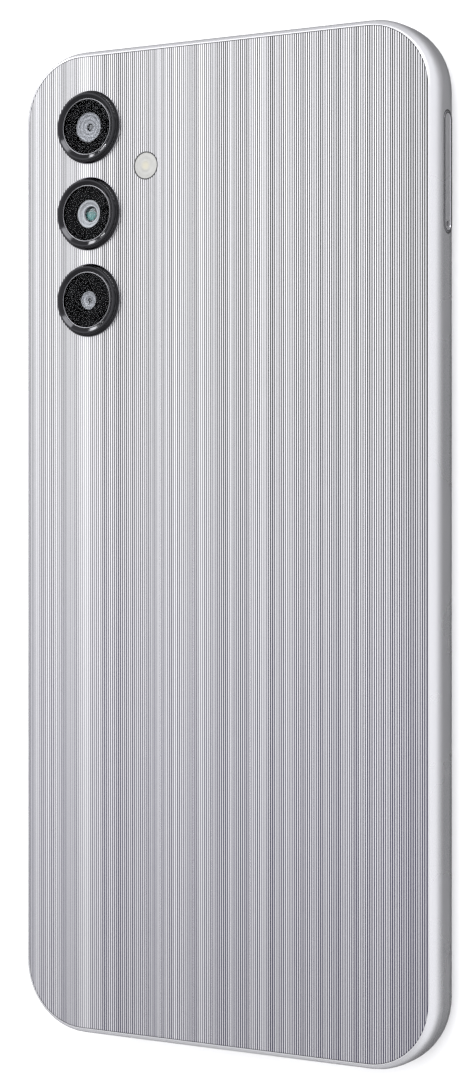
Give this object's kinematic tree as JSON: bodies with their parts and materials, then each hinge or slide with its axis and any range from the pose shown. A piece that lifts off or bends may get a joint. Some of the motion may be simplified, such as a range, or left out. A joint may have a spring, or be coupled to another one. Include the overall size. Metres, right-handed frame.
{
  "type": "smartphone",
  "caption": "Slab smartphone with rounded silver frame, finely lined back, a column of ringed rear cameras, side keys, card tray and bottom ports.",
  "frame": {"origin": "centre of the cover glass's outer face, on which the phone lies, midway across and midway up the phone", "axes": "The phone lies face down. +X is the card tray's side, which is on the right seen from the back, +Y runs up the phone to the earpiece edge, +Z runs from the screen to the back and its cameras"},
  "size_m": [0.0785, 0.1676, 0.0103],
  "materials": {
    "frame_silver": "satin silver moulding",
    "panel_silver": "silver film with fine upright lines",
    "cover_glass": "polished",
    "ring_chrome": "dark chrome",
    "window_glass": "polished",
    "mask_black": "printed black",
    "barrel_grey": "ring-turned grey",
    "lens_glass": "coated",
    "flash_white": "frosted",
    "led_yellow": "phosphor",
    "key_silver": "satin",
    "sensor_silver": "satin",
    "tray_silver": "satin",
    "alloy": "cast, blasted",
    "lcd_glass": "dark when off",
    "backlight_white": "white tray",
    "tape_black": "foam tape",
    "battery_wrap": "black pouch film",
    "board_green": "solder mask",
    "chip_black": "moulded",
    "shield_steel": "tinned",
    "steel": "stamped",
    "screw_steel": "nickel",
    "connector_gold": "gold-plated",
    "flex_amber": "polyimide",
    "flex_black": "polyimide",
    "plastic_black": "moulded",
    "cable_white": "sheath",
    "mesh_grey": "woven",
    "magnet_nickel": "nickel-plated",
    "weight_tungsten": "sintered",
    "cone_black": "film"
  },
  "bodies": {
    "phone": {"antenna_cable": "cable_white", "back_panel": "panel_silver", "back_panel_tape": "tape_black", "backlight": "backlight_white", "battery": "battery_wrap", "battery_flex": "flex_amber", "board_chips": "chip_black", "board_connectors": "connector_gold", "board_shields": "shield_steel", "camera_flexes": "flex_amber", "camera_housings": "chip_black", "camera_ring_bottom": "ring_chrome", "camera_ring_middle": "ring_chrome", "camera_ring_top": "ring_chrome", "camera_windows": "window_glass", "cover_glass": "cover_glass", "display_cell": "lcd_glass", "display_flex": "flex_amber", "display_tape": "tape_black", "earpiece_mesh": "mesh_grey", "earpiece_receiver": "plastic_black", "flash_led": "led_yellow", "flash_lens": "flash_white", "focus_housing": "chip_black", "front_camera": "chip_black", "front_lenses": "lens_glass", "headphone_jack": "plastic_black", "key_flex": "flex_amber", "key_switches": "steel", "lens_barrels": "barrel_grey", "lens_masks": "mask_black", "low_bracket": "plastic_black", "main_board": "board_green", "main_flex": "flex_black", "microphones": "shield_steel", "mid_frame": "alloy", "motor_case": "steel", "screws": "screw_steel", "side_frame": "frame_silver", "sim_cage": "steel", "sim_contacts": "connector_gold", "speaker_basket": "steel", "speaker_box": "plastic_black", "speaker_magnet": "magnet_nickel", "speaker_mesh": "mesh_grey", "sub_board": "board_green", "switch_domes": "steel", "top_bracket": "plastic_black", "usb_shell": "steel", "usb_tongue": "chip_black"},
    "power_key": {"power_key": "key_silver", "fingerprint_sensor": "sensor_silver"},
    "volume_key": {"volume_key": "key_silver"},
    "sim_tray": {"sim_tray": "tray_silver"},
    "eject_rod": {"eject_rod": "steel"},
    "eject_lever": {"eject_lever": "steel"},
    "autofocus_lens": {"focus_barrel": "barrel_grey", "focus_lens": "lens_glass"},
    "vibration_weight": {"motor_weight": "weight_tungsten"},
    "speaker_cone": {"speaker_cone": "cone_black"}
  },
  "joints": [
    {"name": "power_key_press", "type": "slide", "parent": "phone", "child": "power_key", "axis": [1, 0, 0], "range_m": [0, 0.0002], "stiffness_N_per_m": 5000},
    {"name": "volume_rocker", "type": "hinge", "parent": "phone", "child": "volume_key", "pos_m": [-0.0373, 0.04, 0.00485], "axis": [0, 0, 1], "range_deg": [-1.1, 1.1], "stiffness_Nm_per_rad": 0.5},
    {"name": "sim_tray_slide", "type": "slide", "parent": "phone", "child": "sim_tray", "axis": [1, 0, 0], "range_m": [0, 0.025]},
    {"name": "eject_rod_push", "type": "slide", "parent": "phone", "child": "eject_rod", "axis": [-1, 0, 0], "range_m": [0, 0.0018]},
    {"name": "eject_lever_turn", "type": "hinge", "parent": "phone", "child": "eject_lever", "pos_m": [0.0096, 0.0564, 0.0043], "axis": [0, 0, -1], "range_deg": [0, 19]},
    {"name": "autofocus_travel", "type": "slide", "parent": "phone", "child": "autofocus_lens", "axis": [0, 0, 1], "range_m": [0, 0.00025], "stiffness_N_per_m": 60},
    {"name": "vibration_spin", "type": "hinge", "parent": "phone", "child": "vibration_weight", "pos_m": [0.0308, -0.0638, 0.00475], "axis": [0, 0, 1], "continuous": true},
    {"name": "cone_travel", "type": "slide", "parent": "phone", "child": "speaker_cone", "axis": [0, 0, 1], "range_m": [-0.0003, 0.0003], "stiffness_N_per_m": 300}
  ],
  "couplings": [
    {"joint": "eject_lever_turn", "follows": "eject_rod_push", "rad_per_m": 180.18}
  ]
}
